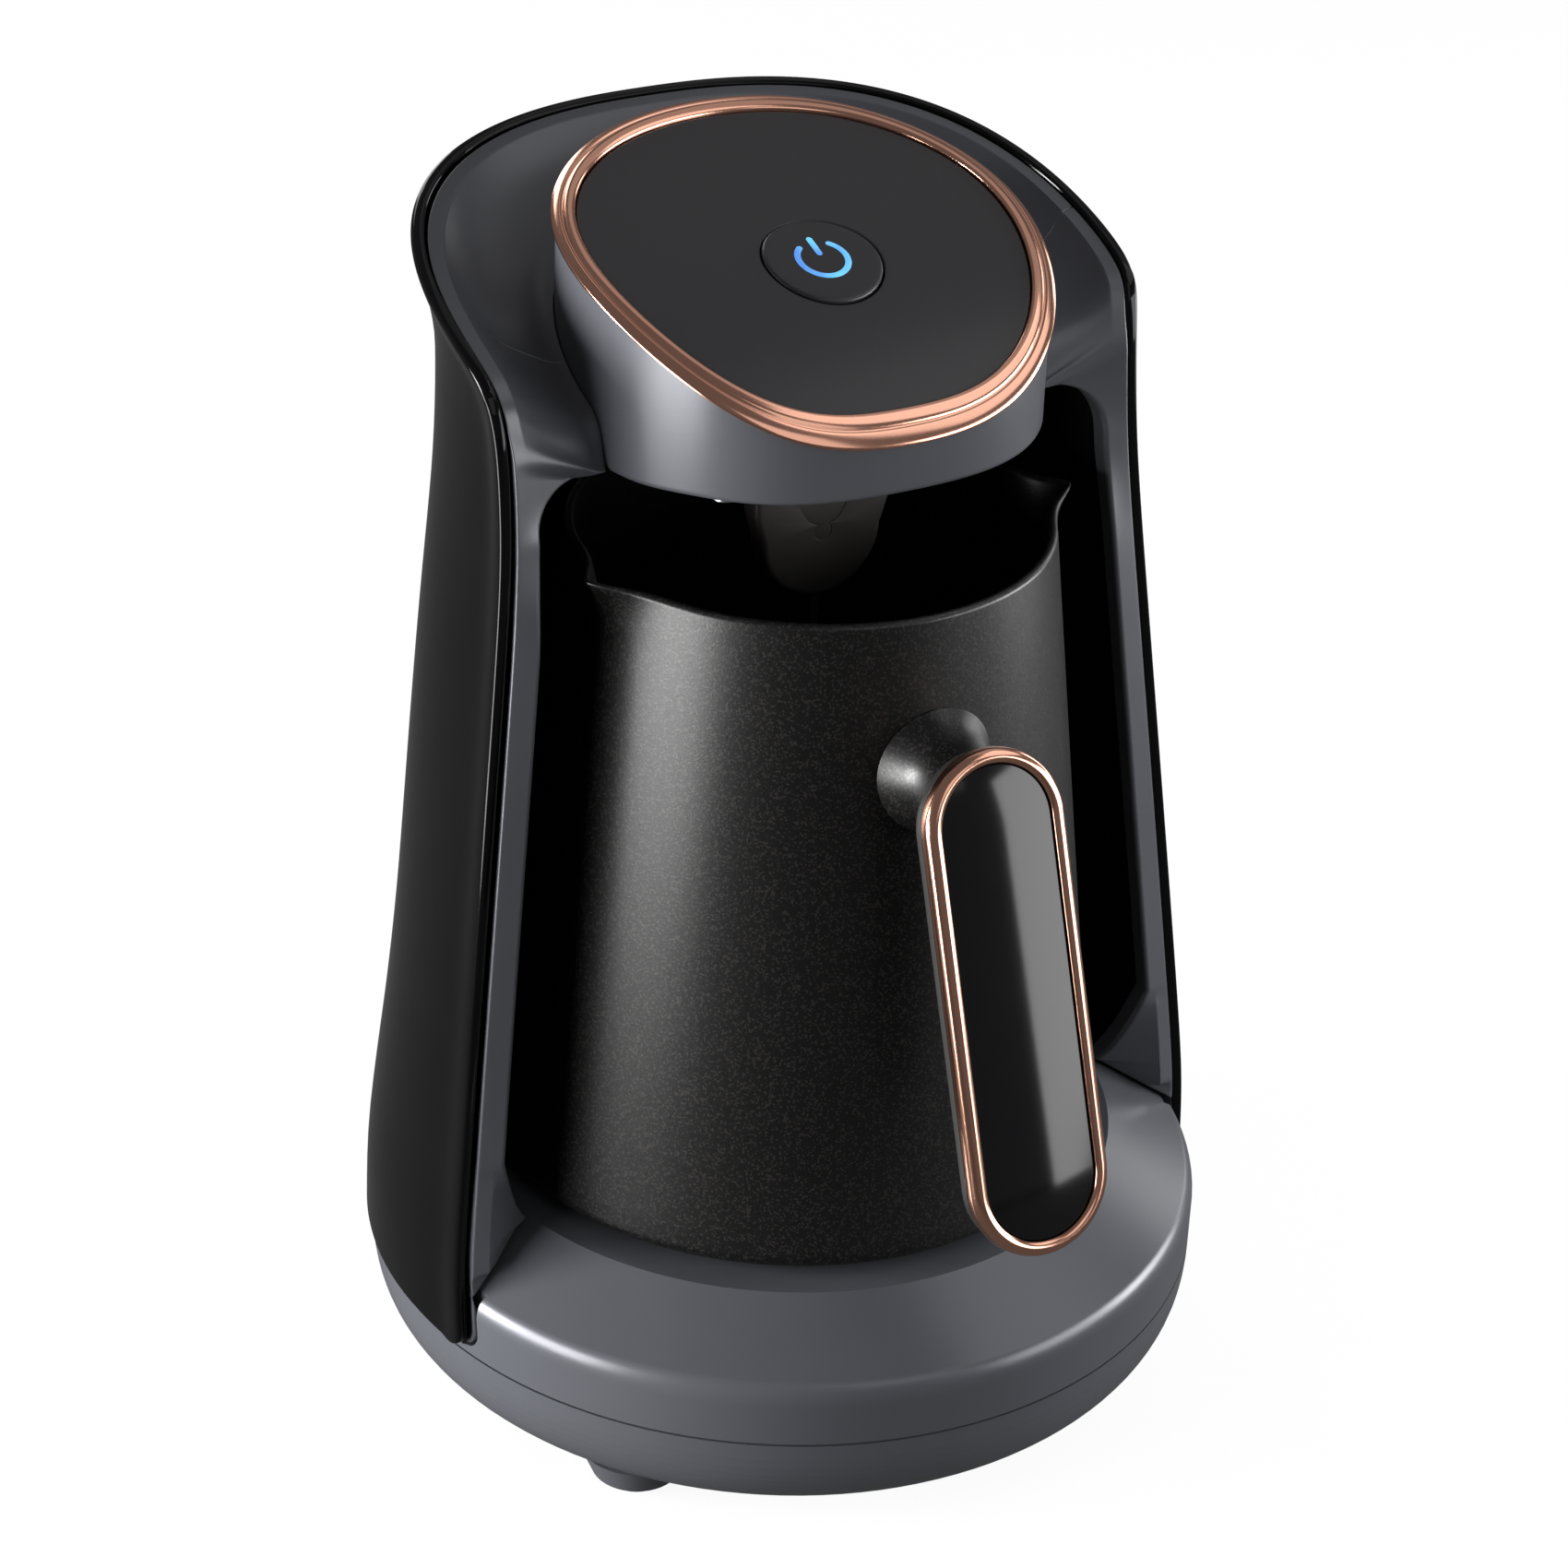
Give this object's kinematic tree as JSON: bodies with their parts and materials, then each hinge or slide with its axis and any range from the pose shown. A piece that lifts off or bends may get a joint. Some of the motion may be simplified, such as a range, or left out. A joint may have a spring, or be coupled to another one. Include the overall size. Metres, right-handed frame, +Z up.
{
  "type": "electric turkish coffee maker",
  "caption": "Coffee maker with a round heated base, a flared horseshoe column, a head with a power button and a sensor flap, and a tapered two-spout pot with a strap handle.",
  "frame": {"origin": "on the common axis of the pot, the heating plate and the base, in the plane of the feet's undersides", "axes": "+Z up; the front, where the pot's handle is, faces -Y; +X is to the right of someone who stands at the front"},
  "size_m": [0.1474, 0.1607, 0.2152],
  "materials": {
    "slate_plastic": "satin",
    "rubber": "matt",
    "steel": "plain",
    "plate_coating": "dark coating",
    "fuse_body": "ceramic",
    "board_green": "lacquered",
    "relay_blue": "moulded",
    "capacitor_skin": "sleeve",
    "terminal_green": "moulded",
    "black_plastic": "fine matt",
    "gloss_black": "high gloss",
    "rose_gold": "polished rose gold",
    "icon_light": "translucent",
    "wire_red": "silicone sleeve",
    "pot_black": "satin enamel"
  },
  "bodies": {
    "housing": {"base_tray": "slate_plastic", "base_cover": "slate_plastic", "rubber_feet": "rubber", "base_screws": "steel", "cord_gland": "rubber", "heating_plate": "plate_coating", "heating_element": "steel", "plate_clamp": "steel", "plate_screws": "steel", "temperature_sensor": "steel", "sensor_spring": "steel", "thermal_fuse": "fuse_body", "power_board": "board_green", "relay": "relay_blue", "capacitor": "capacitor_skin", "terminal_block": "terminal_green", "buzzer": "black_plastic", "board_screws": "steel", "mantle": "gloss_black", "column_frame": "slate_plastic", "niche_liner": "gloss_black", "head_shell": "slate_plastic", "head_floor": "black_plastic", "head_floor_screws": "steel", "wiring_harness": "wire_red", "hinge_bracket": "black_plastic", "flap_pin": "steel", "panel": "gloss_black", "trim_ring": "rose_gold", "button_spring": "steel", "tact_switch": "black_plastic", "control_board": "board_green", "control_board_screws": "steel"},
    "pot": {"pot_body": "pot_black", "spool": "black_plastic", "handle_core": "black_plastic", "handle_bezel": "rose_gold", "handle_inlay": "gloss_black", "handle_screw": "steel"},
    "flap": {"sensor_flap": "black_plastic", "sensor_probe": "steel"},
    "button": {"button_cap": "gloss_black", "button_lens": "icon_light"}
  },
  "joints": [
    {"name": "pot_slide", "type": "slide", "parent": "housing", "child": "pot", "axis": [0, -1, 0], "range_m": [0, 0.165]},
    {"name": "flap_swing", "type": "hinge", "parent": "housing", "child": "flap", "pos_m": [0, -0.0015, 0.17], "axis": [1, 0, 0], "range_deg": [-80, 80]},
    {"name": "button_press", "type": "slide", "parent": "housing", "child": "button", "axis": [0, 0.3245, -0.9459], "range_m": [0, 0.001], "stiffness_N_per_m": 600, "springref_m": -0.001, "deforming": ["button_spring"]}
  ]
}
